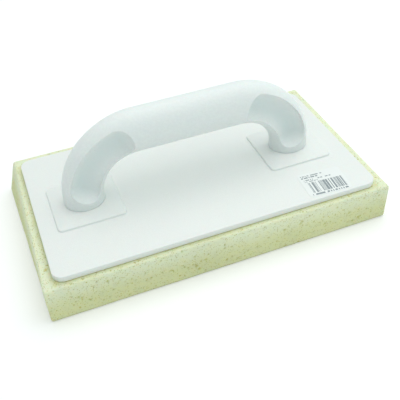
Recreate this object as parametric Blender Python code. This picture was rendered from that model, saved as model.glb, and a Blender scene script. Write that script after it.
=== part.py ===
"""Sponge float for washing grout: a foam block under a plastic plate with a D-shaped handle.

Metres, +Z up. The origin is the middle of the foam's working face. +X runs along the float
and -Y is the side with the label. Pieces that touch are drawn GAP apart.
"""

import math

import bmesh
import bpy
from mathutils import Vector

GAP = 0.0003                    # left between two pieces that touch

# Foam block
SPONGE_LENGTH = 0.260
SPONGE_WIDTH = 0.150
SPONGE_HEIGHT = 0.0296
SPONGE_EDGE = 0.0015            # softened edge

# Film of glue between the foam and the plate
GLUE_THICKNESS = 0.0003
GLUE_MARGIN = 0.0010            # the glue stops short of the plate's edge

# Backing plate, set in from the foam's edges and nearer to the front one
PLATE_END_MARGIN = 0.00875
PLATE_FRONT_MARGIN = 0.0044
PLATE_BACK_MARGIN = 0.0108
PLATE_THICKNESS = 0.0043
PLATE_CORNER = 0.0078
PLATE_EDGE = 0.0004

# Screws, driven up through the plate and the flange into the handle, two for each foot
SCREW_LENGTH = 0.0200
SCREW_HEAD_RADIUS = 0.0036
SCREW_HEAD_RIM = 0.0005
SCREW_THREAD_RADIUS = 0.0020
SCREW_CORE_RADIUS = 0.0014
SCREW_PITCH = 0.0016
SCREW_TIP = 0.0022
SCREW_SPACING = 0.0140
SCREW_CLEARANCE = 0.0003
CROSS_ARM = 0.0021
CROSS_WIDTH = 0.0009
CROSS_DEPTH = 0.0013

# Foot flange: a square pad whose top slopes up to the leg, with a boss that enters the leg
FLANGE_SIZE = 0.0505
FLANGE_CORNER = 0.0034
FLANGE_EDGE = 0.0010            # height of the upright edge
FLANGE_RISE = 0.0012            # rise of the sloping top
SEAT_MARGIN = 0.0012            # flat ring left round the leg
BOSS_WALL = 0.0012              # round the screw holes
BOSS_HALF_WIDTH = 0.0065
BOSS_HEIGHT = 0.0015
BOSS_CLEARANCE = 0.0003

# Handle: straight legs, quarter bends and a straight grip, all of oval section.
# "Thick" is measured across the bend's radius and "wide" along Y.
LEG_INSET = 0.03905             # from the plate's end to the leg's middle
LEG_STRAIGHT = 0.0048
BEND_RADIUS = 0.0442
HANDLE_SHIFT_X = -0.0016
HANDLE_SHIFT_Y = -0.0010
FOOT_THICK = 0.0300
FOOT_WIDE = 0.0268
BEND_THICK = 0.0313
BEND_WIDE = 0.0258
GRIP_THICK = 0.0333
GRIP_WIDE = 0.0258
FOOT_EDGE = 0.0009
HANDLE_WALL = 0.0024
LEG_END_WALL = 0.0120           # solid end of the leg that the screws bite in

# Scoop moulded in each side of each bend
SCOOP_START = math.radians(17)  # bend angles of the ends of the scoop's middle line
SCOOP_END = math.radians(68)
SCOOP_OFFSET = 0.0006           # middle line, outwards from the bend's own
SCOOP_HALF_WIDTH = 0.0120
SCOOP_FLOOR = 0.0040            # from the handle's middle plane to the deepest line
SCOOP_RISE = 0.0060             # from there up to the sides
SCOOP_END_RISE = 0.0090         # from there up to the ends

# Label in the strip between the right flange and the plate's front edge
LABEL_WIDTH = 0.0340
LABEL_THICKNESS = 0.0002
LABEL_CORNER = 0.0025
LABEL_TURN = math.radians(-4)
LABEL_FROM_END = 0.0180
LABEL_FROM_FRONT = 0.0016
LABEL_FROM_FLANGE = 0.0115

# Fineness of the curves
CORNER_STEPS = 5
SIDE_STEPS = 7
HANDLE_SIDES = 48
BEND_STEPS = 20
GRIP_STEPS = 6
CORE_SIDES = 14
CORE_BEND_STEPS = 7
HOLE_SIDES = 16
SCREW_SIDES = 12

# Sizes and places that follow from the ones above
PLATE_LENGTH = SPONGE_LENGTH - 2 * PLATE_END_MARGIN
PLATE_WIDTH = SPONGE_WIDTH - PLATE_FRONT_MARGIN - PLATE_BACK_MARGIN
PLATE_Y = (PLATE_FRONT_MARGIN - PLATE_BACK_MARGIN) / 2
GLUE_Z = SPONGE_HEIGHT + GAP
PLATE_Z = GLUE_Z + GLUE_THICKNESS + GAP
PLATE_TOP = PLATE_Z + PLATE_THICKNESS
FLANGE_Z = PLATE_TOP + GAP
SEAT_HEIGHT = FLANGE_EDGE + FLANGE_RISE
HANDLE_Z = FLANGE_Z + SEAT_HEIGHT + GAP
HANDLE_Y = PLATE_Y + HANDLE_SHIFT_Y
LEG_X = PLATE_LENGTH / 2 - LEG_INSET
GRIP_HALF = LEG_X - BEND_RADIUS
GRIP_Z = LEG_STRAIGHT + BEND_RADIUS
HOLE_RADIUS = SCREW_THREAD_RADIUS + SCREW_CLEARANCE
BOSS_HALF_LENGTH = SCREW_SPACING / 2 + HOLE_RADIUS + BOSS_WALL
FEET = {"left": HANDLE_SHIFT_X - LEG_X, "right": HANDLE_SHIFT_X + LEG_X}

WHITE_PLASTIC = (0.80, 0.86, 0.84)
HANDLE_PLASTIC = (0.74, 0.83, 0.82)
CREAM_FOAM = (0.74, 0.78, 0.50)
CREAM_GLUE = (0.80, 0.78, 0.55)
LABEL_PAPER = (0.82, 0.90, 0.92)
ZINC = (0.62, 0.63, 0.64)


def clear_scene():
    """Empty the scene of whatever it held before."""
    for thing in list(bpy.data.objects):
        bpy.data.objects.remove(thing, do_unlink=True)


def material(name, colour, roughness, metallic=0.0):
    """Make a plain Principled material."""
    made = bpy.data.materials.new(name)
    made.use_nodes = True
    shader = made.node_tree.nodes["Principled BSDF"]
    shader.inputs["Base Color"].default_value = (*colour, 1.0)
    shader.inputs["Roughness"].default_value = roughness
    shader.inputs["Metallic"].default_value = metallic
    return made


def add_object(name, shape, finish, place=(0, 0, 0), turn=0.0, smooth=True):
    """Turn a bmesh into a named object that hangs from the float's empty."""
    bmesh.ops.recalc_face_normals(shape, faces=shape.faces)
    mesh = bpy.data.meshes.new(name)
    shape.to_mesh(mesh)
    shape.free()
    mesh.materials.append(finish)
    if smooth:
        mesh.shade_smooth()
        mesh.set_sharp_from_angle(angle=math.radians(35))
    made = bpy.data.objects.new(name, mesh)
    made.location = place
    made.rotation_euler = (0, 0, turn)
    made.parent = bpy.data.objects["float_origin"]
    bpy.context.scene.collection.objects.link(made)
    return made


def add_cutter(name, shape, place=(0, 0, 0)):
    """Make an object that only cuts others."""
    cutter = add_object(name, shape, bpy.data.materials["cutter"], place, smooth=False)
    cutter.hide_render = True
    cutter.display_type = 'WIRE'
    return cutter


def cut(target, cutter):
    """Take the cutter's shape out of the target."""
    boolean = target.modifiers.new(cutter.name, 'BOOLEAN')
    boolean.operation = 'DIFFERENCE'
    boolean.solver = 'EXACT'
    boolean.object = cutter


def soften(target, width, segments=1):
    """Bevel the target's sharp edges."""
    bevel = target.modifiers.new("softened edges", 'BEVEL')
    bevel.width = width
    bevel.segments = segments
    bevel.limit_method = 'ANGLE'
    bevel.angle_limit = math.radians(60)


def stack(shape, rings):
    """Skin a list of closed rings of equally many points and cap both ends."""
    loops = [[shape.verts.new(point) for point in ring] for ring in rings]
    count = len(loops[0])
    for lower, upper in zip(loops, loops[1:]):
        for i in range(count):
            j = (i + 1) % count
            shape.faces.new((lower[i], lower[j], upper[j], upper[i]))
    shape.faces.new(loops[0])
    shape.faces.new(loops[-1])
    return shape


def circle(radius, z, sides):
    """Give the points of a level circle about the Z axis."""
    steps = (2 * math.pi * i / sides for i in range(sides))
    return [Vector((radius * math.cos(a), radius * math.sin(a), z)) for a in steps]


def turned(profile, sides):
    """Turn a profile of (radius, z) points about the Z axis into a closed solid."""
    return stack(bmesh.new(), [circle(radius, z, sides) for radius, z in profile])


def rounded_outline(length, width, corner, z):
    """Give the points of a level rectangle with round corners."""
    corners = ((1, 1), (-1, 1), (-1, -1), (1, -1))
    points = []
    for quarter, (sx, sy) in enumerate(corners):
        middle = Vector((sx * (length / 2 - corner), sy * (width / 2 - corner), z))
        for i in range(CORNER_STEPS + 1):
            a = math.pi / 2 * (quarter + i / CORNER_STEPS)
            points.append(middle + corner * Vector((math.cos(a), math.sin(a), 0)))
    return points


def subdivided(outline):
    """Add even points along the four straight sides of a rounded outline."""
    points = []
    for i, point in enumerate(outline):
        points.append(point)
        if i % (CORNER_STEPS + 1) == CORNER_STEPS:
            after = outline[(i + 1) % len(outline)]
            points += [point.lerp(after, k / SIDE_STEPS) for k in range(1, SIDE_STEPS)]
    return points


def slab(length, width, corner, height):
    """Make a flat plate with round corners, standing on z = 0."""
    rings = [rounded_outline(length, width, corner, z) for z in (0, height)]
    return stack(bmesh.new(), rings)


def oval_like(outline, half_length, half_width, z):
    """Give an oval with a point in the direction of each point of the outline."""
    points = []
    for point in outline:
        a = math.atan2(point.y / half_width, point.x / half_length)
        points.append(Vector((half_length * math.cos(a), half_width * math.sin(a), z)))
    return points


def smooth_step(t):
    """Rise smoothly from 0 to 1 as t does."""
    t = max(0.0, min(1.0, t))
    return t * t * (3 - 2 * t)


def bend_stations(first, steps):
    """List (x, z, turn) along the left bend, from the bend angle first up to the grip.

    turn is 0 up the left leg, a quarter turn along the grip and a half turn down the right.
    """
    stations = []
    for i in range(steps + 1):
        a = first + (math.pi / 2 - first) * i / steps
        x = -GRIP_HALF - BEND_RADIUS * math.cos(a)
        stations.append((x, LEG_STRAIGHT + BEND_RADIUS * math.sin(a), a))
    return stations


def mirrored(stations):
    """List the stations of the handle's other half, from the grip down."""
    return [(-x, z, math.pi - a) for x, z, a in reversed(stations)]


def handle_stations():
    """List (x, z, turn) along the handle's middle line, from bend to bend."""
    left = bend_stations(0.0, BEND_STEPS)
    steps = [2 * i / GRIP_STEPS - 1 for i in range(1, GRIP_STEPS)]
    grip = [(GRIP_HALF * step, GRIP_Z, math.pi / 2) for step in steps]
    return left + grip + mirrored(left)


def half_section(turn):
    """Give half the thickness and half the width of the handle at a turn."""
    bend = min(turn, math.pi - turn) / (math.pi / 4)
    up, along = smooth_step(bend), smooth_step(bend - 1)
    thick = FOOT_THICK + (BEND_THICK - FOOT_THICK) * up + (GRIP_THICK - BEND_THICK) * along
    wide = FOOT_WIDE + (BEND_WIDE - FOOT_WIDE) * up + (GRIP_WIDE - BEND_WIDE) * along
    return thick / 2, wide / 2


def scooped(turn, offset, side):
    """Bring a skin point's sideways place in to the scoop's hollow, if it lies in a scoop."""
    bend = min(turn, math.pi - turn)
    beyond = max(SCOOP_START - bend, bend - SCOOP_END, 0.0) * (BEND_RADIUS + offset)
    along = beyond / SCOOP_HALF_WIDTH
    across = (offset - SCOOP_OFFSET) / SCOOP_HALF_WIDTH
    hollow = SCOOP_FLOOR + SCOOP_RISE * across ** 2 + SCOOP_END_RISE * along ** 3
    return math.copysign(min(abs(side), hollow), side)


def section_ring(station, half_thick, half_wide, sides):
    """Give the oval ring at a station of the handle's middle line."""
    x, z, turn = station
    outward = Vector((-math.cos(turn), 0, math.sin(turn)))
    ring = []
    for i in range(sides):
        a = 2 * math.pi * i / sides
        side = Vector((x, half_wide * math.sin(a), z))
        ring.append(side + outward * half_thick * math.cos(a))
    return ring


def skin_ring(station):
    """Give the handle's outer ring at a station, dished where the scoops are."""
    x, z, turn = station
    outward = Vector((-math.cos(turn), 0, math.sin(turn)))
    ring = section_ring(station, *half_section(turn), HANDLE_SIDES)
    for point in ring:
        point.y = scooped(turn, (point - Vector((x, 0, z))).dot(outward), point.y)
    return ring


def handle_skin():
    """Make the outer solid of the handle, its feet standing on z = 0."""
    narrow = (FOOT_THICK / 2 - FOOT_EDGE, FOOT_WIDE / 2 - FOOT_EDGE)
    full = (FOOT_THICK / 2, FOOT_WIDE / 2)
    left = [section_ring((-LEG_X, 0, 0), *narrow, HANDLE_SIDES)]
    left.append(section_ring((-LEG_X, FOOT_EDGE, 0), *full, HANDLE_SIDES))
    right = [section_ring((LEG_X, FOOT_EDGE, math.pi), *full, HANDLE_SIDES)]
    right.append(section_ring((LEG_X, 0, math.pi), *narrow, HANDLE_SIDES))
    between = [skin_ring(station) for station in handle_stations()]
    return stack(bmesh.new(), left + between + right)


def handle_core():
    """Make the hollow inside the handle, which stops LEG_END_WALL above each foot."""
    left = bend_stations(max(LEG_END_WALL - LEG_STRAIGHT, 0.0) / BEND_RADIUS, CORE_BEND_STEPS)
    half_wide = SCOOP_FLOOR - HANDLE_WALL
    rings = []
    for station in left + mirrored(left):
        half_thick, _ = half_section(station[2])
        rings.append(section_ring(station, half_thick - HANDLE_WALL, half_wide, CORE_SIDES))
    return stack(bmesh.new(), rings)


def screw_shape():
    """Make a countersunk screw with its head on z = 0 and its point up."""
    shank = SCREW_HEAD_RIM + SCREW_HEAD_RADIUS - SCREW_THREAD_RADIUS
    profile = [(SCREW_HEAD_RADIUS, 0), (SCREW_HEAD_RADIUS, SCREW_HEAD_RIM), (SCREW_THREAD_RADIUS, shank)]
    z = shank + SCREW_PITCH
    while z + SCREW_PITCH < SCREW_LENGTH - SCREW_TIP:
        profile += [(SCREW_CORE_RADIUS, z), (SCREW_THREAD_RADIUS, z + SCREW_PITCH / 2)]
        z += SCREW_PITCH
    profile += [(SCREW_CORE_RADIUS, z), (SCREW_CORE_RADIUS / 6, SCREW_LENGTH)]
    return turned(profile, SCREW_SIDES)


def screw_hole():
    """Make the cutter for a countersunk hole through the plate, from z = 0 up."""
    wide = SCREW_HEAD_RADIUS + SCREW_CLEARANCE
    cone_top = SCREW_HEAD_RIM + wide - HOLE_RADIUS
    through = PLATE_THICKNESS + cone_top
    profile = [(wide, -GAP), (wide, SCREW_HEAD_RIM), (HOLE_RADIUS, cone_top), (HOLE_RADIUS, through)]
    return turned(profile, HOLE_SIDES)


def cross_recess():
    """Make the cutter for the driver recess in a screw's head."""
    shape = bmesh.new()
    arm, half = CROSS_ARM, CROSS_WIDTH / 2
    corners = [(arm, -half), (arm, half), (half, half), (half, arm), (-half, arm), (-half, half)]
    outline = corners + [(-x, -y) for x, y in corners]
    rings = []
    for z, shrink in ((-GAP, 1.0), (CROSS_DEPTH, 0.6)):
        rings.append([Vector((x * shrink, y * shrink, z)) for x, y in outline])
    return stack(shape, rings)


def flange_shape():
    """Make a foot flange standing on z = 0, still without its screw holes."""
    edge = subdivided(rounded_outline(FLANGE_SIZE, FLANGE_SIZE, FLANGE_CORNER, 0))
    seat = (FOOT_THICK / 2 + SEAT_MARGIN, FOOT_WIDE / 2 + SEAT_MARGIN)
    rings = [
        edge,
        [point + Vector((0, 0, FLANGE_EDGE)) for point in edge],
        oval_like(edge, *seat, SEAT_HEIGHT),
        oval_like(edge, BOSS_HALF_LENGTH, BOSS_HALF_WIDTH, SEAT_HEIGHT),
        oval_like(edge, BOSS_HALF_LENGTH, BOSS_HALF_WIDTH, SEAT_HEIGHT + BOSS_HEIGHT),
    ]
    return stack(bmesh.new(), rings)


def make_sponge():
    """The foam block that the float works with."""
    sponge = add_object(
        "sponge_block",
        slab(SPONGE_LENGTH, SPONGE_WIDTH, SPONGE_EDGE, SPONGE_HEIGHT),
        material("open-cell foam", CREAM_FOAM, 0.95),
    )
    soften(sponge, SPONGE_EDGE / 2)


def make_glue():
    """The film of glue that holds the plate on the foam."""
    inset = 2 * GLUE_MARGIN
    add_object(
        "glue_film",
        slab(PLATE_LENGTH - inset, PLATE_WIDTH - inset, PLATE_CORNER - GLUE_MARGIN, GLUE_THICKNESS),
        material("contact glue", CREAM_GLUE, 0.6),
        (0, PLATE_Y, GLUE_Z),
    )


def make_plate():
    """The backing plate, with a countersunk hole for each screw."""
    plate = add_object(
        "base_plate",
        slab(PLATE_LENGTH, PLATE_WIDTH, PLATE_CORNER, PLATE_THICKNESS),
        material("white plate plastic", WHITE_PLASTIC, 0.5),
        (0, PLATE_Y, PLATE_Z),
    )
    soften(plate, PLATE_EDGE)
    for name, x in screw_places():
        cut(plate, add_cutter(f"cutter_plate_{name}", screw_hole(), (x, HANDLE_Y, PLATE_Z)))


def make_flanges():
    """The square flange under each foot of the handle."""
    plastic = material("white flange plastic", WHITE_PLASTIC, 0.5)
    for side, x in FEET.items():
        make_flange(side, x, plastic)


def make_flange(side, x, plastic):
    """One foot flange with its two screw holes."""
    flange = add_object(f"{side}_foot_flange", flange_shape(), plastic, (x, HANDLE_Y, FLANGE_Z))
    height = SEAT_HEIGHT + BOSS_HEIGHT + GAP
    for name, hole_x in screw_places():
        if name.startswith(side):
            hole = turned([(HOLE_RADIUS, -GAP), (HOLE_RADIUS, height)], HOLE_SIDES)
            cut(flange, add_cutter(f"cutter_flange_{name}", hole, (hole_x, HANDLE_Y, FLANGE_Z)))


def make_handle():
    """The moulded handle: a hollow D with scoops in its bends and screw holes in its feet."""
    plastic = material("white handle plastic", HANDLE_PLASTIC, 0.42)
    place = (HANDLE_SHIFT_X, HANDLE_Y, HANDLE_Z)
    handle = add_object("handle", handle_skin(), plastic, place)
    cut(handle, add_cutter("cutter_handle_core", handle_core(), place))
    for side, x in FEET.items():
        boss = (BOSS_HALF_LENGTH + BOSS_CLEARANCE, BOSS_HALF_WIDTH + BOSS_CLEARANCE)
        outline = circle(1.0, 0, 2 * HOLE_SIDES)
        rings = [oval_like(outline, *boss, z) for z in (-2 * GAP, BOSS_HEIGHT)]
        pocket = stack(bmesh.new(), rings)
        cut(handle, add_cutter(f"cutter_{side}_leg_pocket", pocket, (x, HANDLE_Y, HANDLE_Z)))
    for name, x in screw_places():
        reach = LEG_END_WALL + HANDLE_WALL
        hole = turned([(HOLE_RADIUS, -GAP), (HOLE_RADIUS, reach)], HOLE_SIDES)
        cut(handle, add_cutter(f"cutter_leg_{name}", hole, (x, HANDLE_Y, HANDLE_Z)))


def screw_places():
    """List the name and the x of each screw."""
    places = []
    for side, x in FEET.items():
        outward = math.copysign(SCREW_SPACING / 2, x)
        places.append((f"{side}_outer", x + outward))
        places.append((f"{side}_inner", x - outward))
    return places


def make_screws():
    """The four screws, their heads flush with the plate's underside."""
    zinc = material("zinc-plated steel", ZINC, 0.35, 1.0)
    for name, x in screw_places():
        screw = add_object(f"screw_{name}", screw_shape(), zinc, (x, HANDLE_Y, PLATE_Z))
        cut(screw, add_cutter(f"cutter_cross_{name}", cross_recess(), (x, HANDLE_Y, PLATE_Z)))


def make_label():
    """The label, filling the strip in front of the right flange."""
    plate_front = PLATE_Y - PLATE_WIDTH / 2
    front = plate_front + LABEL_FROM_FRONT
    back = HANDLE_Y - FLANGE_SIZE / 2 - LABEL_FROM_FLANGE
    tilt = abs(math.sin(LABEL_TURN))
    depth = (back - front - LABEL_WIDTH * tilt) / math.cos(LABEL_TURN)
    reach = (LABEL_WIDTH * math.cos(LABEL_TURN) + depth * tilt) / 2
    add_object(
        "barcode_label",
        slab(LABEL_WIDTH, depth, LABEL_CORNER, LABEL_THICKNESS),
        material("label paper", LABEL_PAPER, 0.6),
        (PLATE_LENGTH / 2 - LABEL_FROM_END - reach, (front + back) / 2, PLATE_TOP + GAP),
        LABEL_TURN,
    )


def main():
    """Build the whole float."""
    clear_scene()
    origin = bpy.data.objects.new("float_origin", None)
    bpy.context.scene.collection.objects.link(origin)
    material("cutter", (1, 0, 0), 1.0)
    make_sponge()
    make_glue()
    make_plate()
    make_flanges()
    make_handle()
    make_screws()
    make_label()


main()
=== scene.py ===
"""Sponge float: the finished foam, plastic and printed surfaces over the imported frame.

Metres, +Z up. The origin is the middle of the foam's working face. +X runs along the float
and -Y is the side with the label. Every finished piece keeps its place in its own mesh.
"""

import math
import random

import bmesh
import bpy
from bpy.props import FloatProperty, FloatVectorProperty, IntProperty, PointerProperty
from mathutils import Matrix, Vector, kdtree, noise


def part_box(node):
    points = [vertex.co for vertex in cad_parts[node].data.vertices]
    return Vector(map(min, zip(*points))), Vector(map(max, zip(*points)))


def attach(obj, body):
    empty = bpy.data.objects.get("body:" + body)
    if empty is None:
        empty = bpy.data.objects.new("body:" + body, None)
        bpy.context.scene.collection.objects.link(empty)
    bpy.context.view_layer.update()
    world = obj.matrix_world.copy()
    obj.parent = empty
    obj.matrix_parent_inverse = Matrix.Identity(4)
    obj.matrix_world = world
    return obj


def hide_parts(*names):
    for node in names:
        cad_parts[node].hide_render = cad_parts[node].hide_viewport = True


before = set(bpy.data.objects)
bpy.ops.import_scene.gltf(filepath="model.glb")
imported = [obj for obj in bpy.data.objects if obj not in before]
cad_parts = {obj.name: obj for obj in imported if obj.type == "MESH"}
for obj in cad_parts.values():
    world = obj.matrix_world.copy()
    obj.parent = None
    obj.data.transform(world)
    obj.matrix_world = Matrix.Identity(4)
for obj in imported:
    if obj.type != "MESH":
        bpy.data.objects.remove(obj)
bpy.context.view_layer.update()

bl_info = {
    "name": "Sponge Float",
    "version": (1, 0, 0),
    "blender": (4, 5, 0),
    "location": "3D View > Sidebar > Float",
    "description": "Builds the finished surfaces of a sponge float and its studio",
    "category": "Object",
}

MM = 0.001
TOUCH = 0.00003                 # left between a piece and what it lies on
SAME_PLACE = 1e-6               # points closer than this are one
HOLE_RADIUS = 0.0023            # of a screw's hole past its countersink
FOAM_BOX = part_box("sponge_block")
GLUE_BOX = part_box("glue_film")
PLATE_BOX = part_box("base_plate")
HANDLE_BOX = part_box("handle")
LABEL_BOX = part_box("barcode_label")
SCREW_NODES = sorted(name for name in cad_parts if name.startswith("screw_"))
FLANGE_NODES = sorted(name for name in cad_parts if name.endswith("_foot_flange"))


def length(name, description, default):
    """Give a size that a user may change, in metres."""
    return FloatProperty(name=name, description=description, default=default, min=0.0, unit='LENGTH')


def colour(name, description, default):
    """Give a colour that a user may change."""
    return FloatVectorProperty(
        name=name, description=description, default=default, size=3, min=0.0, max=1.0, subtype='COLOR'
    )


class FoamSettings(bpy.types.PropertyGroup):
    """The foam block."""

    cell: length("Mesh size", "Size of the surface's faces", 0.0009)
    edge: length("Edge radius", "Rounding of the cut edges", 0.0014)
    slant: length("Crooked cut", "How far the left end leans in at the top of its back corner", 0.0038)
    spread: length("Spread", "How far the same corner sticks out at its bottom", 0.0044)
    waviness: length("Waviness", "How far the cut faces wander", 0.0002)
    pits: IntProperty(name="Pits", description="Number of open pores cut by the knife", default=1500)
    cream: colour("Cream", "Colour of the foam's top", (0.80, 0.835, 0.62))
    # Painted shade: the foam's sides are painted in this darker colour low down, fading to the top's colour
    # higher up.
    painted_shade_cream: colour("Deep cream", "Colour low on the foam's sides", (0.71, 0.725, 0.43))
    # Ochre also colours the painted shade next to the plate.
    ochre: colour("Ochre", "Colour inside a pore", (0.48, 0.45, 0.09))


class PlateSettings(bpy.types.PropertyGroup):
    """The backing plate and the two foot flanges."""

    corner: length("Corner radius", "Radius of the plate's corners", 0.0078)
    rim: length("Rim radius", "Rounding of the plate's rim", 0.0005)
    flange_corner: length("Flange corner", "Radius of a flange's corners", 0.0034)
    flange_edge: length("Flange edge", "Height of a flange's upright edge", 0.0010)
    flange_draft: length("Flange draft", "How far a flange's upright edge leans in", 0.0005)
    flange_rise: length("Flange rise", "Rise of a flange's sloping top", 0.0012)
    seat_length: length("Seat length", "Length of the flat oval round a leg", 0.0324)
    seat_width: length("Seat width", "Width of the flat oval round a leg", 0.0292)
    boss_length: length("Boss length", "Length of the boss that enters a leg", 0.0210)
    boss_width: length("Boss width", "Width of the boss that enters a leg", 0.0130)
    white: colour("White", "Colour of the plastic", (0.825, 0.835, 0.810))


class HandleSettings(bpy.types.PropertyGroup):
    """The handle."""

    leg_spacing: length("Leg spacing", "Distance between the middles of the legs", 0.1644)
    leg_straight: length("Straight leg", "Height of a leg below its bend", 0.00507)
    foot_reach: length("Foot reach", "How far a foot reaches down to its flange", 0.00027)
    foot_edge: length("Foot edge", "Rounding of a foot's lower edge", 0.0004)
    bend_radius: length("Bend radius", "Radius of the middle line of a bend", 0.0442)
    foot_thick: length("Foot thickness", "Thickness along the float at a foot", 0.0300)
    foot_wide: length("Foot width", "Width across the float at a foot", 0.0268)
    bend_thick: length("Bend thickness", "Thickness halfway round a bend", 0.0313)
    bend_wide: length("Bend width", "Width halfway round a bend", 0.0258)
    grip_thick: length("Grip height", "Height of the grip's oval", 0.0333)
    grip_wide: length("Grip width", "Width of the grip's oval", 0.0258)
    scoop_floor: length("Scoop floor", "Distance of a scoop's floor from the handle's middle plane", 0.0044)
    scoop_rise: length("Scoop rise", "How far a scoop's floor rises to its side rims", 0.0060)
    scoop_end_rise: length("Scoop end rise", "How far a scoop's floor rises to its ends", 0.0090)
    scoop_half_width: length("Scoop half width", "Half the width of a scoop", 0.0120)
    scoop_lip: length("Scoop lip", "Depth of the steep lip round a scoop", 0.0014)
    scoop_lip_spread: length("Lip spread", "Depth below the rim at which the lip ends", 0.0020)
    scoop_rim: length("Scoop rim", "Softness of a scoop's rim", 0.0004)
    white: colour("White", "Colour of the plastic", (0.820, 0.845, 0.830))
    # Painted shade: the deep parts of the scoops are painted in this darker, bluer colour.
    hollow: colour("Hollow", "Colour deep in a scoop", (0.735, 0.790, 0.780))


class LabelSettings(bpy.types.PropertyGroup):
    """The label."""

    turn: FloatProperty(
        name="Turn", description="How far it was stuck on askew", default=math.radians(-4), subtype='ANGLE'
    )
    corner: length("Corner radius", "Radius of the label's corners", 0.0025)
    paper: colour("Paper", "Colour of the paper", (0.84, 0.855, 0.84))
    ink: colour("Ink", "Colour of the printing", (0.16, 0.20, 0.22))


class StudioSettings(bpy.types.PropertyGroup):
    """The floor, the lights and the camera."""

    overhead: FloatProperty(
        name="Overhead", description="Power of the overhead light", default=8.0, unit='POWER'
    )
    zenith: FloatProperty(name="Zenith", description="Brightness of the room overhead", default=1.10)
    lean: FloatProperty(name="Lean", description="Extra brightness of the right-hand side", default=0.13)
    horizon: FloatProperty(name="Horizon", description="Brightness of the room's walls", default=0.36)
    ceiling: colour("Ceiling colour", "Colour of the light from overhead", (1.0, 1.0, 0.99))
    wall: colour("Wall colour", "Colour of the light from the walls", (0.72, 1.0, 1.0))
    glow: FloatProperty(name="Floor glow", description="Light from within the floor", default=0.22)
    floor: colour("Floor", "Colour of the floor", (0.80, 0.80, 0.80))


# ---------------------------------------------------------------- modelling by operators


def deselect():
    """Leave nothing selected."""
    bpy.ops.object.select_all(action='DESELECT')


def only(piece):
    """Make one object the active and the only selected one."""
    deselect()
    bpy.context.view_layer.objects.active = piece
    piece.select_set(True)


def started(name):
    """Name the primitive that was just added, and take its place and size into its mesh."""
    piece = bpy.context.active_object
    piece.name = name
    piece.data.name = name
    bpy.ops.object.transform_apply(location=True, rotation=True, scale=True)
    return piece


def edit(piece, mode='VERT'):
    """Enter edit mode with nothing selected."""
    only(piece)
    bpy.ops.object.mode_set(mode='EDIT')
    bpy.ops.mesh.select_mode(type=mode)
    bpy.ops.mesh.select_all(action='DESELECT')


def leave():
    """Return to object mode."""
    bpy.ops.object.mode_set(mode='OBJECT')


def pick_edges(piece, test):
    """Select the edges whose two ends pass a test; in edit mode."""
    shape = bmesh.from_edit_mesh(piece.data)
    for item in shape.edges:
        item.select_set(test(item.verts[0].co, item.verts[1].co))
    bmesh.update_edit_mesh(piece.data)


def is_upright(a, b):
    """Tell whether an edge runs along Z."""
    return abs(a.z - b.z) > abs(a.x - b.x) + abs(a.y - b.y)


def clean(piece):
    """Merge doubled points and point every face outwards."""
    edit(piece)
    bpy.ops.mesh.select_all(action='SELECT')
    bpy.ops.mesh.remove_doubles(threshold=SAME_PLACE)
    bpy.ops.mesh.normals_make_consistent(inside=False)
    leave()


def smooth(piece, degrees=35):
    """Shade a piece smooth, apart from its sharp edges."""
    only(piece)
    bpy.ops.object.shade_smooth_by_angle(angle=math.radians(degrees))


def carve(piece, cutter):
    """Cut one shape out of another and throw the cutter away."""
    only(piece)
    boolean = piece.modifiers.new("carved", 'BOOLEAN')
    boolean.operation = 'DIFFERENCE'
    boolean.solver = 'EXACT'
    boolean.object = cutter
    bpy.ops.object.modifier_apply(modifier=boolean.name)
    bpy.data.objects.remove(cutter, do_unlink=True)


def finish(piece, material, slot, *nodes):
    """Give a piece its finish and its place in the frame."""
    piece.data.materials.clear()
    piece.data.materials.append(material)
    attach(piece, "root")
    if nodes:
        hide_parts(*nodes)


def step(t):
    """Rise smoothly from 0 to 1 as t does."""
    t = max(0.0, min(1.0, t))
    return t * t * (3 - 2 * t)


def soft_least(a, b, blend):
    """Give the lesser of two sizes, rounded over a blend where they are nearly equal."""
    near = max(blend - abs(a - b), 0.0) / blend
    return min(a, b) - near * near * blend / 4


def middle(box):
    """Give the middle of a box."""
    return (box[0] + box[1]) / 2


# ---------------------------------------------------------------- finishes


class Value:
    """A shader socket that Python's arithmetic works on."""

    def __init__(self, recipe, socket):
        self.recipe = recipe
        self.socket = socket

    def __add__(self, other):
        return self.recipe.maths('ADD', self, other)

    def __radd__(self, other):
        return self.recipe.maths('ADD', other, self)

    def __sub__(self, other):
        return self.recipe.maths('SUBTRACT', self, other)

    def __mul__(self, other):
        return self.recipe.maths('MULTIPLY', self, other)

    def __rmul__(self, other):
        return self.recipe.maths('MULTIPLY', other, self)

    def __truediv__(self, other):
        return self.recipe.maths('DIVIDE', self, other)

    def __pow__(self, other):
        return self.recipe.maths('POWER', self, other)

    def __gt__(self, other):
        return self.recipe.maths('GREATER_THAN', self, other)

    def __lt__(self, other):
        return self.recipe.maths('LESS_THAN', self, other)


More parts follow.
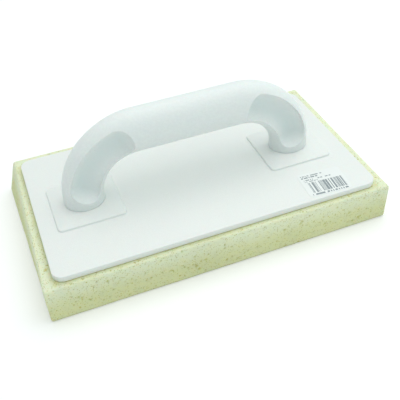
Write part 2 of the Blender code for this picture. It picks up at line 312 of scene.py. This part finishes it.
class Recipe:
    """The nodes of one finish."""

    def __init__(self, name, roughness=0.5, **shader):
        self.material = bpy.data.materials.new(name)
        self.material.use_nodes = True
        self.tree = self.material.node_tree
        self.shader = self.tree.nodes["Principled BSDF"]
        self.set("Roughness", roughness)
        for socket, value in shader.items():
            self.set(socket.replace("_", " ").title(), value)
        self.place = self.node('ShaderNodeTexCoord', output="Object")

    def set(self, socket, value):
        """Set or link one of the shader's sockets."""
        self.feed(self.shader.inputs[socket], value)

    def feed(self, socket, value):
        """Link a value to a socket, or set a number, colour or vector on it."""
        if isinstance(value, Value):
            self.tree.links.new(value.socket, socket)
        elif socket.type == 'RGBA':
            socket.default_value = (*value, 1.0)
        else:
            socket.default_value = value

    def node(self, kind, settings=None, inputs=None, output=0):
        """Add a node: its settings first, then the values or links of its sockets."""
        made = self.tree.nodes.new(kind)
        for name, value in (settings or {}).items():
            setattr(made, name, value)
        for key, value in (inputs or {}).items():
            self.feed(made.inputs[key], value)
        return Value(self, made.outputs[output])

    def other(self, value, output):
        """Give another output of the node that a value comes from."""
        return Value(self, value.socket.node.outputs[output])

    def maths(self, operation, *values):
        """Add a Math node."""
        return self.node('ShaderNodeMath', {"operation": operation}, dict(enumerate(values)))

    def mix(self, factor, first, second):
        """Mix two colours."""
        return self.node(
            'ShaderNodeMix', {"data_type": 'RGBA'}, {0: factor, 6: first, 7: second}, output=2
        )

    def ramp(self, value, low, high, to_low=0.0, to_high=1.0):
        """Map one range smoothly to another."""
        inputs = {"Value": value, 1: low, 2: high, 3: to_low, 4: to_high}
        return self.node('ShaderNodeMapRange', {"interpolation_type": 'SMOOTHSTEP'}, inputs)

    def clouds(self, size, detail, roughness=0.5):
        """Add noise whose blotches are about a size across."""
        inputs = {"Vector": self.place, "Scale": 1 / size, "Detail": detail, "Roughness": roughness}
        return self.node('ShaderNodeTexNoise', None, inputs)

    def cells(self, size):
        """Add a pattern of cells of a size: the distance from each cell's middle."""
        inputs = {"Vector": self.place, "Scale": 1 / size}
        return self.node('ShaderNodeTexVoronoi', None, inputs)

    def chance(self, cells):
        """Give a random number for each cell."""
        return self.node('ShaderNodeSeparateColor', None, {0: self.other(cells, "Color")})

    def bump(self, height, distance, strength):
        """Raise the surface by a height pattern of a depth."""
        inputs = {"Height": height, "Distance": distance, "Strength": strength}
        self.set("Normal", self.node('ShaderNodeBump', None, inputs))


def foam_finish(foam):
    """Cream open-cell foam with ochre pores, painted darker low down, with a painted contact shadow at its
    foot and painted ochre shade next to the plate.
    """
    made = Recipe("cream open-cell foam", 0.95, subsurface_weight=0.15, subsurface_scale=0.002)
    made.set("Specular IOR Level", 0.15)
    x, y, z = (made.node('ShaderNodeSeparateXYZ', None, {0: made.place}, axis) for axis in "XYZ")
    cloud = made.clouds(0.060, 3)
    mottle = made.clouds(0.0040, 4, 0.65)
    fine = made.cells(0.0010)
    small = made.cells(0.00115)
    large = made.cells(0.0042)
    pit = made.node('ShaderNodeAttribute', {"attribute_name": "pore"}, output="Fac")
    small_size = 0.10 + 0.40 * made.chance(small)
    large_size = 0.02 + 0.22 * made.chance(large) ** 1.5
    small_hole = made.ramp(small, small_size, small_size * 0.45, 0.0, 0.85)
    large_hole = made.ramp(large, large_size, large_size * 0.5, 0.0, 0.85)
    hole = made.maths('MAXIMUM', small_hole, made.maths('MAXIMUM', large_hole, pit))
    side, end = middle(PLATE_BOX).y, (PLATE_BOX[1] - PLATE_BOX[0]) / 2
    past_end = made.maths('MAXIMUM', made.maths('ABSOLUTE', x) - end.x, 0.0)
    past_side = made.maths('MAXIMUM', made.maths('ABSOLUTE', y - side) - end.y, 0.0)
    # Painted shade: the foam's top is painted towards ochre within 4.5 mm of the plate's edge, where the
    # plate shades it.
    painted_plate_shade = made.ramp(past_end + past_side, 0.0045, 0.0, 0.0, 0.5) * (z > 0.027)
    # Painted shade: the foam is painted darker low on its sides and lighter towards its top, between 10 and
    # 28.5 mm up.
    high = made.ramp(z, 0.010, 0.0285)
    cream = made.mix(high, foam.painted_shade_cream, foam.cream)
    base = made.mix(made.ramp(mottle, 0.40, 0.70, 0.0, 0.20) + painted_plate_shade * mottle, cream, foam.ochre)
    # The pores' ochre goes over the base colour, which carries the painted shade.
    pores_and_painted_shade = made.mix(hole * 0.80, base, foam.ochre)
    # Painted contact shadow: the foam is painted up to a quarter darker in its lowest 2.5 mm, and the tone
    # below carries it along with the random tone.
    under = made.ramp(z, 0.0, 0.0025, 0.75, 1.0)
    tone = made.ramp(cloud, 0.30, 0.70, 0.95, 1.04) * made.ramp(mottle, 0.3, 0.7, 0.93, 1.05) * under
    shade = made.node('ShaderNodeCombineColor', None, {0: tone, 1: tone, 2: tone})
    toned = made.node(
        'ShaderNodeMix', {"data_type": 'RGBA', "blend_type": 'MULTIPLY'}, {0: 1.0, 6: pores_and_painted_shade, 7: shade},
        output=2,
    )
    made.set("Base Color", toned)
    height = fine * 0.35 + mottle * 0.5 - hole
    made.bump(height, 0.0005, 0.6)
    return made.material


def plastic_finish(name, white, grain, roughness, hollow=None):
    """White moulded plastic with a fine grain and a few dark specks, with painted shade in its hollows."""
    made = Recipe(name, roughness, subsurface_weight=0.08, subsurface_scale=0.003)
    cloud = made.clouds(0.050, 2)
    speckle = made.clouds(grain, 3, 0.6)
    dust = made.cells(0.0070)
    speck = made.ramp(dust, 0.025, 0.045, 1.0, 0.0) * (made.chance(dust) > 0.86)
    tone = made.ramp(cloud, 0.30, 0.70, 0.0, 0.35)
    deeper = tuple(0.955 * part for part in white)
    body = made.mix(tone * 0.5 + made.ramp(speckle, 0.35, 0.65, 0.0, 0.6), white, deeper)
    # Painted shade: the hollow attribute paints the deep parts of a scoop darker.
    if hollow:
        depth = made.node('ShaderNodeAttribute', {"attribute_name": "hollow"}, output="Fac")
        body = made.mix(depth, body, hollow)
    grimy = tuple(0.55 * part for part in white)
    made.set("Base Color", made.mix(speck * 0.6, body, grimy))
    made.set("Roughness", made.ramp(speckle, 0.2, 0.8, roughness - 0.07, roughness + 0.07))
    made.bump(speckle, 0.25 * grain, 0.6)
    return made.material


def glue_finish():
    """Dried cream contact glue."""
    made = Recipe("contact glue", 0.45)
    streak = made.clouds(0.008, 4, 0.6)
    made.set("Base Color", made.mix(streak, (0.72, 0.66, 0.36), (0.60, 0.50, 0.22)))
    made.bump(streak, 0.0002, 0.5)
    return made.material


def zinc_finish():
    """Bright zinc plating."""
    made = Recipe("zinc plating", 0.32, metallic=1.0)
    spangle = made.cells(0.0012)
    haze = made.clouds(0.0006, 3)
    made.set("Base Color", made.mix(made.chance(spangle), (0.62, 0.64, 0.66), (0.50, 0.53, 0.56)))
    made.set("Roughness", made.ramp(haze, 0.3, 0.7, 0.26, 0.40))
    made.bump(haze, 0.00004, 0.5)
    return made.material


def floor_finish(studio):
    """Matt pale studio floor that glows a little."""
    made = Recipe("pale studio floor", 0.9)
    cloud = made.clouds(0.4, 2)
    darker = tuple(0.99 * part for part in studio.floor)
    made.set("Base Color", made.mix(cloud, studio.floor, darker))
    made.set("Emission Color", (1.0, 1.0, 1.0))
    made.set("Emission Strength", studio.glow)
    return made.material


# ---------------------------------------------------------------- foam


def crooked(point, foam):
    """Give how far the left end's crooked cut moves a point: in at the top, out at the bottom."""
    low, high = FOAM_BOX
    near_end = step((low.x + 0.060 - point.x) / 0.060)
    back = (point.y - low.y) / (high.y - low.y)
    up = (point.z - low.z) / (high.z - low.z)
    return near_end * back * Vector((foam.slant * up - foam.spread * (1 - up), foam.spread * (1 - up), 0))


class FLOAT_OT_foam(bpy.types.Operator):
    """Make the foam block: a cut block with a crooked end, wandering faces and open pores"""

    bl_idname = "float.foam"
    bl_label = "Foam block"

    def execute(self, context):
        foam = context.scene.float_foam
        low, high = FOAM_BOX
        high = high + Vector((0, 0, GLUE_BOX[0].z - high.z - TOUCH))
        deselect()
        bpy.ops.mesh.primitive_cube_add(size=1, location=middle((low, high)), scale=high - low)
        block = started("foam_block")
        edit(block, 'EDGE')
        bpy.ops.mesh.select_all(action='SELECT')
        bpy.ops.mesh.bevel(offset=foam.edge, segments=3, affect='EDGES')
        leave()
        remesh = block.modifiers.new("even surface", 'REMESH')
        remesh.mode = 'VOXEL'
        remesh.voxel_size = foam.cell
        bpy.ops.object.modifier_apply(modifier=remesh.name)
        self.cut_faces(block, foam)
        smooth(block, 60)
        finish(block, foam_finish(foam), "foam", "sponge_block")
        return {'FINISHED'}

    def cut_faces(self, block, foam):
        """Move the surface's points: a crooked end, wandering faces and open pores."""
        low, high = FOAM_BOX
        draw = random.Random(7)
        points = block.data.vertices
        tree = kdtree.KDTree(len(points))
        for i, point in enumerate(points):
            tree.insert(point.co, i)
        tree.balance()
        pore = [0.0] * len(points)
        for _ in range(foam.pits):
            _, index, _ = tree.find(Vector([draw.uniform(a, b) for a, b in zip(low, high)]))
            centre = points[index].co.copy()
            radius = draw.uniform(0.0007, 0.0012) + 0.0007 * draw.random() ** 4
            for co, i, gap in tree.find_range(centre, radius):
                pore[i] = max(pore[i], step(1.3 * (1 - gap / radius)))
        normals = [point.normal.copy() for point in points]
        for i, point in enumerate(points):
            place = point.co.copy()
            wander = foam.waviness * (1 + noise.noise(place * 45) + 0.5 * noise.noise(place * 160))
            sink = (0.2 if normals[i].z > 0.9 else 1.0) * wander + 0.0007 * pore[i]
            point.co = place - normals[i] * sink + crooked(place, foam)
        shade = block.data.attributes.new("pore", 'FLOAT', 'POINT')
        shade.data.foreach_set("value", pore)


# ---------------------------------------------------------------- plate and flanges


def screw_places():
    """List the middle of each screw and its lowest z."""
    places = []
    for name in SCREW_NODES:
        low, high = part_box(name)
        places.append(Vector(((low.x + high.x) / 2, (low.y + high.y) / 2, low.z)))
    return places


def hole_cutter(place, radius, bottom, top):
    """Make a round cutter that stands at a place."""
    bpy.ops.mesh.primitive_cylinder_add(
        vertices=48, radius=radius, depth=top - bottom, location=(place.x, place.y, (top + bottom) / 2)
    )
    return started("hole")


class FLOAT_OT_plate(bpy.types.Operator):
    """Make the backing plate with its rounded corners and countersunk holes"""

    bl_idname = "float.plate"
    bl_label = "Backing plate"

    countersink_radius = 0.0039
    countersink_rim = 0.0005

    def execute(self, context):
        plate = context.scene.float_plate
        low, high = PLATE_BOX
        low = Vector((*low.xy, GLUE_BOX[1].z + TOUCH))
        deselect()
        bpy.ops.mesh.primitive_cube_add(size=1, location=middle((low, high)), scale=high - low)
        board = started("backing_plate")
        edit(board, 'EDGE')
        pick_edges(board, is_upright)
        bpy.ops.mesh.bevel(offset=plate.corner, segments=14, affect='EDGES')
        for level in (low.z, high.z):
            bpy.ops.mesh.select_all(action='DESELECT')
            pick_edges(board, lambda a, b: abs(a.z - level) + abs(b.z - level) < SAME_PLACE)
            bpy.ops.mesh.bevel(offset=plate.rim, segments=4, affect='EDGES')
        leave()
        for place in screw_places():
            carve(board, self.countersink(place, low.z - 0.0003, high.z))
        clean(board)
        smooth(board)
        plastic = plastic_finish("white plate plastic", plate.white, 0.0007, 0.46)
        finish(board, plastic, "plate_plastic", "base_plate")
        return {'FINISHED'}

    def countersink(self, place, bottom, top):
        """Make the cutter for one countersunk hole."""
        wide, rim = self.countersink_radius, self.countersink_rim
        bpy.ops.mesh.primitive_circle_add(
            vertices=48, radius=wide, fill_type='NGON', location=(place.x, place.y, bottom)
        )
        cutter = started("countersink")
        edit(cutter, 'FACE')
        bpy.ops.mesh.select_all(action='SELECT')
        rise = {"value": (0, 0, place.z + rim - bottom)}
        bpy.ops.mesh.extrude_region_move(TRANSFORM_OT_translate=rise)
        cone = {"value": (0, 0, wide - HOLE_RADIUS)}
        bpy.ops.mesh.extrude_region_move(TRANSFORM_OT_translate=cone)
        shrink = HOLE_RADIUS / wide
        centre = (place.x, place.y, 0)
        bpy.ops.transform.resize(value=(shrink, shrink, 1), center_override=centre)
        shaft = {"value": (0, 0, top - place.z)}
        bpy.ops.mesh.extrude_region_move(TRANSFORM_OT_translate=shaft)
        bpy.ops.mesh.select_all(action='SELECT')
        bpy.ops.mesh.normals_make_consistent(inside=False)
        leave()
        return cutter


class FLOAT_OT_flanges(bpy.types.Operator):
    """Make the square flange under each leg, with its sloping top and its boss"""

    bl_idname = "float.flanges"
    bl_label = "Foot flanges"

    quarter = 32
    corner_steps = 8

    def execute(self, context):
        plate = context.scene.float_plate
        plastic = plastic_finish("white flange plastic", plate.white, 0.0007, 0.46)
        for node in FLANGE_NODES:
            pad = self.pad(node, plate)
            low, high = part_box(node)
            for place in screw_places():
                if low.x < place.x < high.x:
                    carve(pad, hole_cutter(place, HOLE_RADIUS, low.z - MM, high.z + MM))
            clean(pad)
            smooth(pad, 20)
            finish(pad, plastic, "plate_plastic", node)
        return {'FINISHED'}

    def pad(self, node, plate):
        """Make one flange from the top down: its boss, its seat, its slope and its upright edge."""
        low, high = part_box(node)
        centre = Vector((*middle(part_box(node)).xy, high.z))
        seat = low.z + plate.flange_edge + plate.flange_rise
        foot = low.z - PLATE_BOX[1].z - TOUCH
        deselect()
        bpy.ops.mesh.primitive_circle_add(
            vertices=4 * self.quarter, radius=0.5, fill_type='NGON', location=centre
        )
        pad = started(node.replace("foot_flange", "flange"))
        edit(pad, 'FACE')
        bpy.ops.mesh.select_all(action='SELECT')
        self.resize((plate.boss_length, plate.boss_width), centre)
        self.drop(high.z - seat)
        self.drop(0)
        self.resize((plate.seat_length / plate.boss_length, plate.seat_width / plate.boss_width), centre)
        self.drop(plate.flange_rise)
        self.drop(plate.flange_edge + foot)
        leave()
        for point in pad.data.vertices:
            if point.co.z < seat - 1e-5:
                inset = plate.flange_draft if point.co.z > low.z + 1e-5 else 0
                x, y = self.outline(point.co - centre, plate, (high.x - low.x) / 2 - inset)
                point.co.x = centre.x + x
                point.co.y = centre.y + y
        clean(pad)
        edge = low.z + plate.flange_edge
        edit(pad, 'EDGE')
        pick_edges(pad, lambda a, b: abs(a.z - edge) + abs(b.z - edge) < SAME_PLACE)
        bpy.ops.mesh.bevel(offset=0.0002, segments=2, affect='EDGES')
        leave()
        return pad

    def drop(self, depth):
        """Extrude the selected face downwards."""
        fall = {"value": (0, 0, -depth)}
        bpy.ops.mesh.extrude_region_move(TRANSFORM_OT_translate=fall)

    def resize(self, ratio, centre):
        """Stretch the selected face about the flange's middle."""
        bpy.ops.transform.resize(value=(*ratio, 1), center_override=centre)

    def outline(self, spoke, plate, half):
        """Give the rounded square's point that belongs to a point of the oval."""
        around = math.atan2(spoke.y / plate.seat_width, spoke.x / plate.seat_length) / (math.pi / 2)
        turns, part = divmod(round(around * self.quarter), self.quarter)
        flat = (self.quarter - self.corner_steps) // 2
        straight = half - plate.flange_corner
        if part < flat:
            x, y = half, straight * part / flat
        elif part > flat + self.corner_steps:
            x, y = straight * (self.quarter - part) / flat, half
        else:
            a = math.pi / 2 * (part - flat) / self.corner_steps
            x = straight + plate.flange_corner * math.cos(a)
            y = straight + plate.flange_corner * math.sin(a)
        for _ in range(turns % 4):
            x, y = -y, x
        return x, y


# ---------------------------------------------------------------- handle


class HandleShape:
    """Where the handle's middle line runs, and the section at each turn of it."""

    def __init__(self, handle):
        self.size = handle
        low, high = HANDLE_BOX
        self.origin = Vector(((low.x + high.x) / 2, (low.y + high.y) / 2, low.z - handle.foot_reach))
        self.leg = handle.leg_spacing / 2
        self.grip = self.leg - handle.bend_radius
        self.top = handle.leg_straight + handle.bend_radius
        self.scoop_start = math.radians(17)
        self.scoop_end = math.radians(68)
        self.scoop_offset = 0.0006

    def half_section(self, bend):
        """Give half the thickness and half the width at a bend angle."""
        size = self.size
        part = bend / (math.pi / 4)
        up, along = step(part), step(part - 1)
        thick = size.foot_thick + (size.bend_thick - size.foot_thick) * up
        wide = size.foot_wide + (size.bend_wide - size.foot_wide) * up
        thick += (size.grip_thick - size.bend_thick) * along
        wide += (size.grip_wide - size.bend_wide) * along
        return thick / 2, wide / 2

    def station(self, point):
        """Give the bend angle at a point, the middle line's place and direction there, and the offset."""
        size = self.size
        side = math.copysign(1, point.x)
        x, z = abs(point.x), point.z
        if z <= size.leg_straight and x > self.grip:
            return 0.0, Vector((side * self.leg, 0, z)), Vector((side, 0, 0)), x - self.leg
        if x <= self.grip:
            return math.pi / 2, Vector((point.x, 0, self.top)), Vector((0, 0, 1)), z - self.top
        reach = Vector((x - self.grip, z - size.leg_straight))
        bend = math.atan2(reach.y, reach.x)
        outward = Vector((side * math.cos(bend), 0, math.sin(bend)))
        centre = Vector((side * self.grip, 0, size.leg_straight))
        return bend, centre + outward * size.bend_radius, outward, reach.length - size.bend_radius

    def scooped(self, bend, offset, side):
        """Bring a sideways place in to the scoop's hollow, if it lies in a scoop."""
        size = self.size
        beyond = max(self.scoop_start - bend, bend - self.scoop_end, 0.0) * (size.bend_radius + offset)
        across = (offset - self.scoop_offset) / size.scoop_half_width
        along = beyond / size.scoop_half_width
        hollow = size.scoop_floor + size.scoop_rise * across ** 2 + size.scoop_end_rise * along ** 3
        hollow -= size.scoop_lip * step((abs(side) - hollow) / size.scoop_lip_spread)
        return math.copysign(soft_least(abs(side), hollow, size.scoop_rim), side)

    def shaped(self, point):
        """Give the place on the real surface of a plain tube's point, and how far a scoop sank it."""
        size = self.size
        bend, centre, outward, offset = self.station(point)
        half_thick, half_wide = self.half_section(bend)
        offset *= half_thick / (size.foot_thick / 2)
        side = point.y * half_wide / (size.foot_wide / 2)
        dished = self.scooped(bend, offset, side)
        place = self.origin + centre + outward * offset + Vector((0, dished, 0))
        return place, abs(side) - abs(dished)


class FLOAT_OT_handle(bpy.types.Operator):
    """Make the moulded handle: an oval tube spun round two bends, with a scoop in each side of each"""

    bl_idname = "float.handle"
    bl_label = "Handle"

    sides = 192
    leg_steps = 4
    bend_steps = 96
    grip_steps = 36
    painted_shade_from = 0.35
    pocket_length = 0.0216
    pocket_width = 0.0136
    pocket_depth = 0.0015
    hole_depth = 0.0150

    def execute(self, context):
        handle = context.scene.float_handle
        shape = HandleShape(handle)
        bow = self.tube(handle, shape)
        # Painted shade: each point keeps how deep a scoop sank it, which the finish paints darker.
        hollow = []
        for point in bow.data.vertices:
            point.co, sunk = shape.shaped(point.co)
            hollow.append(step(sunk / handle.scoop_end_rise - self.painted_shade_from))
        bow.data.update()
        shade = bow.data.attributes.new("hollow", 'FLOAT', 'POINT')
        shade.data.foreach_set("value", hollow)
        clean(bow)
        foot = shape.origin.z
        edit(bow, 'EDGE')
        pick_edges(bow, lambda a, b: abs(a.z - foot) + abs(b.z - foot) < SAME_PLACE)
        bpy.ops.mesh.bevel(offset=handle.foot_edge, segments=3, affect='EDGES')
        leave()
        self.drill(bow, shape)
        clean(bow)
        smooth(bow, 40)
        plastic = plastic_finish("white handle plastic", handle.white, 0.0016, 0.50, handle.hollow)
        finish(bow, plastic, "handle_plastic", "handle")
        return {'FINISHED'}

    def tube(self, handle, shape):
        """Spin and extrude a plain oval tube from the left foot to the right one."""
        deselect()
        start = (-shape.leg, 0, 0)
        bpy.ops.mesh.primitive_circle_add(
            vertices=self.sides, radius=0.5, fill_type='NGON', location=start
        )
        bow = started("handle_moulding")
        edit(bow, 'FACE')
        bpy.ops.mesh.select_all(action='SELECT')
        bpy.ops.transform.resize(
            value=(handle.foot_thick, handle.foot_wide, 1), center_override=start
        )
        self.pull((0, 0, handle.leg_straight), self.leg_steps)
        self.turn((-shape.grip, 0, handle.leg_straight))
        self.pull((2 * shape.grip, 0, 0), self.grip_steps)
        self.turn((shape.grip, 0, handle.leg_straight))
        self.pull((0, 0, -handle.leg_straight), self.leg_steps)
        leave()
        clean(bow)
        return bow

    def pull(self, way, steps):
        """Extrude the selected end in even steps."""
        part = {"value": tuple(Vector(way) / steps)}
        for _ in range(steps):
            bpy.ops.mesh.extrude_region_move(TRANSFORM_OT_translate=part)

    def turn(self, centre):
        """Spin the selected end a quarter turn over a bend."""
        bpy.ops.mesh.spin(steps=self.bend_steps, angle=math.pi / 2, center=centre, axis=(0, -1, 0))

    def drill(self, bow, shape):
        """Cut the pocket for each flange's boss and the holes for the screws."""
        low = HANDLE_BOX[0]
        for side in (-1, 1):
            bpy.ops.mesh.primitive_cylinder_add(
                vertices=96, radius=0.5, depth=2 * self.pocket_depth,
                location=(shape.origin.x + side * shape.leg, shape.origin.y, low.z),
                scale=(self.pocket_length, self.pocket_width, 1),
            )
            carve(bow, started("pocket"))
        for place in screw_places():
            carve(bow, hole_cutter(place, HOLE_RADIUS, low.z - 2 * MM, low.z + self.hole_depth))


# ---------------------------------------------------------------- label, glue and screws


def label_size(label):
    """Give the label's own length and depth, from its box and its turn."""
    low, high = LABEL_BOX
    c, s = math.cos(label.turn), abs(math.sin(label.turn))
    across = high.x - low.x - 2 * label.corner
    along = high.y - low.y - 2 * label.corner
    wide = (across * c - along * s) / (c * c - s * s)
    deep = (along * c - across * s) / (c * c - s * s)
    return wide + 2 * label.corner, deep + 2 * label.corner


class FLOAT_OT_label(bpy.types.Operator):
    """Make the paper label with its bar code and its lines of dashes"""

    bl_idname = "float.label"
    bl_label = "Label"

    def execute(self, context):
        label = context.scene.float_label
        low, high = LABEL_BOX
        centre = middle(LABEL_BOX)
        wide, deep = label_size(label)
        deselect()
        foot = Vector((centre.x, centre.y, PLATE_BOX[1].z + TOUCH))
        bpy.ops.mesh.primitive_plane_add(size=1, location=foot)
        paper = started("printed_label")
        edit(paper, 'VERT')
        bpy.ops.mesh.select_all(action='SELECT')
        bpy.ops.transform.resize(value=(wide, deep, 1), center_override=foot)
        bpy.ops.mesh.bevel(offset=label.corner, segments=8, affect='VERTICES')
        bpy.ops.mesh.select_mode(type='FACE')
        bpy.ops.mesh.select_all(action='SELECT')
        rise = {"value": (0, 0, (high.z - low.z) / 2)}
        bpy.ops.mesh.extrude_region_move(TRANSFORM_OT_translate=rise)
        leave()
        turn = Matrix.Rotation(label.turn, 4, 'Z')
        here = Matrix.Translation(centre)
        paper.data.transform(here @ turn @ here.inverted())
        clean(paper)
        smooth(paper)
        finish(paper, self.print(label, centre, wide, deep), "label_paper", "barcode_label")
        return {'FINISHED'}

    def print(self, label, centre, wide, deep):
        """Coated paper with a bar code, dashes for its lines of print and a row of short marks."""
        made = Recipe("printed label", 0.38)
        settings = {"vector_type": 'TEXTURE'}
        inputs = {"Vector": made.place, "Location": centre, "Rotation": (0, 0, label.turn)}
        local = made.node('ShaderNodeMapping', settings, inputs)
        parts = made.node('ShaderNodeSeparateXYZ', None, {0: local})
        x = parts / MM
        y = made.other(parts, 1) / MM

        def within(value, low, high):
            return (value > low) * (value < high)

        def marks(value, module, share, seed):
            stepped = made.maths('FLOOR', value / module) + seed
            random_part = made.node(
                'ShaderNodeTexWhiteNoise', {"noise_dimensions": '1D'}, {"W": stepped}
            )
            return random_part < share

        bars = marks(x, 0.36, 0.50, 23) * within(x, -12.5, 14.5) * within(y, -9.6, 2.0)
        ink = bars
        rows = (
            (9.9, 1.0, -15.0, 3.0),
            (7.9, 1.3, -15.0, -2.0),
            (5.2, 1.0, -14.0, 8.0),
            (3.4, 0.8, -14.0, -3.0),
        )
        for number, (level, tall, left, right) in enumerate(rows):
            row = within(y, level - tall / 2, level + tall / 2) * within(x, left, right)
            ink = ink + row * marks(x, 0.75, 0.62, 40 * number + 3)
        digits = within(y, -12.2, -10.6) * within(x, -14.0, 14.0)
        ink = ink + digits * marks(x, 0.9, 0.6, 7)
        ink = made.maths('MINIMUM', ink, 1.0)
        fibre = made.clouds(0.0009, 3)
        cloud = made.clouds(0.012, 2)
        pale = tuple(0.96 * part for part in label.paper)
        paper = made.mix(cloud, label.paper, pale)
        made.set("Base Color", made.mix(ink * made.ramp(fibre, 0.2, 0.6, 0.70, 0.90), paper, label.ink))
        made.set("Roughness", made.ramp(fibre, 0.3, 0.7, 0.34, 0.44))
        made.bump(fibre, 0.00003, 0.5)
        return made.material


class FLOAT_OT_glue(bpy.types.Operator):
    """Spread the film of glue that holds the plate on the foam"""

    bl_idname = "float.glue"
    bl_label = "Glue"

    margin = 0.0002

    def execute(self, context):
        plate = context.scene.float_plate
        low, high = GLUE_BOX
        size = PLATE_BOX[1] - PLATE_BOX[0]
        foot = Vector((*middle(GLUE_BOX).xy, low.z))
        spread = (size.x - 2 * self.margin, size.y - 2 * self.margin, 1)
        deselect()
        bpy.ops.mesh.primitive_plane_add(size=1, location=foot)
        film = started("glue_layer")
        edit(film, 'VERT')
        bpy.ops.mesh.select_all(action='SELECT')
        bpy.ops.transform.resize(value=spread, center_override=foot)
        bpy.ops.mesh.bevel(offset=plate.corner - self.margin, segments=14, affect='VERTICES')
        bpy.ops.mesh.select_mode(type='FACE')
        bpy.ops.mesh.select_all(action='SELECT')
        rise = {"value": (0, 0, high.z - low.z)}
        bpy.ops.mesh.extrude_region_move(TRANSFORM_OT_translate=rise)
        leave()
        clean(film)
        smooth(film)
        finish(film, glue_finish(), "glue", "glue_film")
        return {'FINISHED'}


class FLOAT_OT_screws(bpy.types.Operator):
    """Plate the frame's four screws, which keep their own shape"""

    bl_idname = "float.screws"
    bl_label = "Screws"

    def execute(self, context):
        plating = zinc_finish()
        for name in SCREW_NODES:
            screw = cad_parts[name]
            screw.data.materials.clear()
            screw.data.materials.append(plating)
        return {'FINISHED'}


# ---------------------------------------------------------------- studio


class FLOAT_OT_studio(bpy.types.Operator):
    """Set up the pale floor, the soft lights and the camera"""

    bl_idname = "float.studio"
    bl_label = "Studio"

    azimuth = math.radians(-18.952)
    elevation = math.radians(41.478)
    roll = -0.06079
    distance = 0.46949
    lens = 57.27
    target = Vector((-0.00456, -0.03150, 0.030))

    def execute(self, context):
        studio = context.scene.float_studio
        deselect()
        bpy.ops.mesh.primitive_plane_add(size=40, location=(0, 0, -0.0002))
        floor = started("studio_floor")
        floor.data.materials.append(floor_finish(studio))
        self.lamp("overhead", (0.45, 0.10, 1.50), 1.5, studio.overhead)
        self.surround(context.scene, studio)
        self.camera(context.scene)
        context.scene.view_settings.view_transform = 'Standard'
        return {'FINISHED'}

    def lamp(self, name, place, size, power):
        """Hang a soft square light that faces the float."""
        bpy.ops.object.light_add(type='AREA', location=place)
        lamp = bpy.context.active_object
        lamp.name = f"{name}_light"
        lamp.data.size = size
        lamp.data.energy = power
        lamp.rotation_mode = 'QUATERNION'
        lamp.rotation_quaternion = (-Vector(place)).to_track_quat('-Z', 'Y')

    def surround(self, scene, studio):
        """Light the room from above, dimmer towards the horizon, before a white backdrop."""
        scene.world = bpy.data.worlds.new("white room")
        scene.world.use_nodes = True
        nodes = scene.world.node_tree.nodes
        links = scene.world.node_tree.links
        way = nodes.new('ShaderNodeTexCoord').outputs["Generated"]
        slope = nodes.new('ShaderNodeVectorMath')
        slope.operation = 'DOT_PRODUCT'
        slope.inputs[1].default_value = (studio.lean, 0.0, studio.zenith - studio.horizon)
        links.new(way, slope.inputs[0])
        height = nodes.new('ShaderNodeMath')
        height.inputs[1].default_value = studio.horizon
        links.new(slope.outputs["Value"], height.inputs[0])
        seen = nodes.new('ShaderNodeLightPath').outputs["Is Camera Ray"]
        level = nodes.new('ShaderNodeMapRange')
        level.inputs["To Max"].default_value = 1.0
        links.new(height.outputs[0], level.inputs["To Min"])
        links.new(seen, level.inputs["Value"])
        links.new(level.outputs[0], nodes["Background"].inputs["Strength"])
        parts = nodes.new('ShaderNodeSeparateXYZ')
        links.new(way, parts.inputs[0])
        colour = nodes.new('ShaderNodeMix')
        colour.data_type = 'RGBA'
        colour.inputs[6].default_value = (*studio.wall, 1.0)
        colour.inputs[7].default_value = (*studio.ceiling, 1.0)
        links.new(parts.outputs["Z"], colour.inputs[0])
        links.new(colour.outputs[2], nodes["Background"].inputs["Color"])

    def camera(self, scene):
        """Stand the camera in front of the float's left half and above it."""
        bpy.ops.object.camera_add()
        camera = bpy.context.active_object
        camera.data.lens = self.lens
        flat = math.cos(self.elevation)
        back = Vector((
            math.sin(self.azimuth) * flat, -math.cos(self.azimuth) * flat, math.sin(self.elevation)
        ))
        right = (-back).cross(Vector((0, 0, 1))).normalized()
        up = right.cross(-back)
        across = right * math.cos(self.roll) + up * math.sin(self.roll)
        above = back.cross(across)
        turn = Matrix((across, above, back)).transposed().to_4x4()
        camera.matrix_world = Matrix.Translation(self.target + back * self.distance) @ turn
        scene.camera = camera


class FLOAT_PT_panel(bpy.types.Panel):
    """The float's steps, in the order in which they run"""

    bl_label = "Sponge Float"
    bl_idname = "FLOAT_PT_panel"
    bl_space_type = 'VIEW_3D'
    bl_region_type = 'UI'
    bl_category = "Float"

    def draw(self, context):
        for name, _ in GROUPS:
            box = self.layout.box()
            settings = getattr(context.scene, name)
            for field in settings.bl_rna.properties:
                if field.identifier not in {"rna_type", "name"}:
                    box.prop(settings, field.identifier)
        for operator in STEPS:
            self.layout.operator(operator.bl_idname)


GROUPS = (
    ("float_foam", FoamSettings),
    ("float_plate", PlateSettings),
    ("float_handle", HandleSettings),
    ("float_label", LabelSettings),
    ("float_studio", StudioSettings),
)
STEPS = (
    FLOAT_OT_studio,
    FLOAT_OT_foam,
    FLOAT_OT_glue,
    FLOAT_OT_plate,
    FLOAT_OT_flanges,
    FLOAT_OT_handle,
    FLOAT_OT_screws,
    FLOAT_OT_label,
)


def register():
    """Register the settings, the operators and the panel."""
    for name, group in GROUPS:
        bpy.utils.register_class(group)
        setattr(bpy.types.Scene, name, PointerProperty(type=group))
    for item in (*STEPS, FLOAT_PT_panel):
        bpy.utils.register_class(item)


def unregister():
    """Take them out again, last first."""
    for item in (FLOAT_PT_panel, *reversed(STEPS)):
        bpy.utils.unregister_class(item)
    for name, group in reversed(GROUPS):
        delattr(bpy.types.Scene, name)
        bpy.utils.unregister_class(group)


def main():
    """Build the studio and every piece."""
    register()
    bpy.ops.float.studio()
    bpy.ops.float.foam()
    bpy.ops.float.glue()
    bpy.ops.float.plate()
    bpy.ops.float.flanges()
    bpy.ops.float.handle()
    bpy.ops.float.screws()
    bpy.ops.float.label()


if __name__ == "__main__":
    main()
